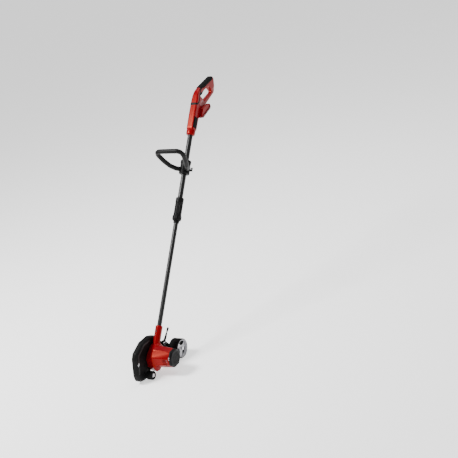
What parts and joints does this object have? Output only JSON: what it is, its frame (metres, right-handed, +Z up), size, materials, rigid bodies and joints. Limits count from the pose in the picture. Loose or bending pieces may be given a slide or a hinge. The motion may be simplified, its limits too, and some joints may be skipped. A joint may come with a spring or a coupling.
{
  "type": "lawn edger",
  "caption": "Cordless lawn edger: telescoping pole, D handle with trigger, auxiliary loop handle, geared motor head with guarded edging blade, guide wheel and depth-adjusting wheel.",
  "frame": {"origin": "on the ground under the middle of the whole tool, which stands in its working posture", "axes": "+X towards the motor side, +Y backwards towards the user, +Z up; the blade turns about X"},
  "size_m": [0.1984, 1.1447, 1.1172],
  "materials": {
    "red_plastic": "moulded ABS, satin gloss",
    "black_plastic": "fine-grained moulded plastic",
    "black_rubber": "soft matte rubber",
    "painted_tube": "dark grey powder coat on aluminium tube",
    "steel": "machined or zinc-plated steel",
    "grey_plastic": "light grey moulded plastic",
    "copper": "copper windings and segments",
    "magnet": "sintered ferrite",
    "circuit_board": "solder-masked laminate"
  },
  "bodies": {
    "handle_unit": {"upper_tube": "painted_tube", "lock_collet": "black_plastic", "wiper_ring": "black_rubber", "coiled_cable": "black_rubber", "handle_left_shell": "red_plastic", "handle_right_shell": "red_plastic", "soft_grip": "black_rubber", "label_plate": "black_plastic", "trigger_pin": "steel", "trigger_spring": "steel", "switch": "black_plastic", "button_spring": "steel", "control_board": "circuit_board", "battery_rails": "black_plastic", "terminal_block": "black_plastic", "handle_screw_1": "steel", "handle_screw_2": "steel"},
    "lock_sleeve": {"lock_sleeve": "black_plastic"},
    "trigger": {"trigger": "black_plastic"},
    "lock_off_button": {"lock_off_button": "black_plastic"},
    "aux_handle": {"aux_handle": "black_plastic", "aux_clamp": "black_plastic", "clamp_bolt": "steel"},
    "clamp_lever": {"clamp_lever": "black_plastic"},
    "head": {"lower_tube": "painted_tube", "motor_lead": "black_rubber", "housing_front": "red_plastic", "housing_rear": "red_plastic", "motor_cap": "black_plastic", "motor_can": "steel", "magnet_upper": "magnet", "magnet_lower": "magnet", "brush_holder": "black_plastic", "motor_bearing_front": "steel", "motor_bearing_rear": "steel", "gearbox_plate": "grey_plastic", "spindle_bearing_outer": "steel", "spindle_bearing_inner": "steel", "blade_guard": "black_plastic", "front_axle_bolt": "steel", "carrier_bracket": "black_plastic", "pivot_bolt": "steel", "stem_screw": "steel"},
    "rotor": {"rotor": "copper", "commutator": "copper", "motor_shaft": "steel", "cooling_fan": "black_plastic", "pinion": "steel"},
    "blade_unit": {"spindle": "steel", "drive_gear": "steel", "inner_flange": "steel", "blade": "steel", "outer_flange": "steel", "blade_nut": "steel"},
    "front_wheel": {"front_wheel": "black_rubber"},
    "wheel_carrier": {"wheel_carrier": "black_plastic", "lever_knob": "black_rubber", "rear_axle": "steel"},
    "rear_wheel": {"rear_tyre": "black_rubber", "rear_rim": "grey_plastic"}
  },
  "joints": [
    {"name": "pole_slide", "type": "slide", "parent": "handle_unit", "child": "head", "axis": [0, 0.6489, 0.7609], "range_m": [0, 0.2]},
    {"name": "sleeve_turn", "type": "hinge", "parent": "handle_unit", "child": "lock_sleeve", "pos_m": [-0.0178, 0.01233, 0.6152], "axis": [0, 0.6489, 0.7609], "range_deg": [0, 90]},
    {"name": "trigger_pull", "type": "hinge", "parent": "handle_unit", "child": "trigger", "pos_m": [-0.0178, 0.47165, 1.08508], "axis": [-1, 0, 0], "range_deg": [0, 8], "stiffness_Nm_per_rad": 1, "springref_deg": -14.32},
    {"name": "lock_off_press", "type": "slide", "parent": "handle_unit", "child": "lock_off_button", "axis": [1, 0, 0], "range_m": [0, 0.0035], "stiffness_N_per_m": 900, "springref_m": -0.003},
    {"name": "aux_handle_slide", "type": "slide", "parent": "handle_unit", "child": "aux_handle", "axis": [0, 0.6489, 0.7609], "range_m": [-0.1, 0.1]},
    {"name": "clamp_lever_open", "type": "hinge", "parent": "aux_handle", "child": "clamp_lever", "pos_m": [0.0017, 0.17868, 0.76247], "axis": [0, -0.6489, -0.7609], "range_deg": [0, 100]},
    {"name": "blade_spin", "type": "hinge", "parent": "head", "child": "blade_unit", "pos_m": [-0.0178, -0.4624, 0.078], "axis": [1, 0, 0], "continuous": true},
    {"name": "rotor_spin", "type": "hinge", "parent": "head", "child": "rotor", "pos_m": [-0.0178, -0.44191, 0.0826], "axis": [1, 0, 0], "continuous": true},
    {"name": "front_wheel_spin", "type": "hinge", "parent": "head", "child": "front_wheel", "pos_m": [-0.0128, -0.5078, 0.021], "axis": [1, 0, 0], "continuous": true},
    {"name": "depth_adjust", "type": "hinge", "parent": "head", "child": "wheel_carrier", "pos_m": [-0.0178, -0.3474, 0.095], "axis": [1, 0, 0], "range_deg": [0, 24]},
    {"name": "rear_wheel_spin", "type": "hinge", "parent": "wheel_carrier", "child": "rear_wheel", "pos_m": [0.0212, -0.3012, 0.0465], "axis": [1, 0, 0], "continuous": true}
  ],
  "couplings": [
    {"joint": "rotor_spin", "follows": "blade_spin", "ratio": -2.5}
  ]
}
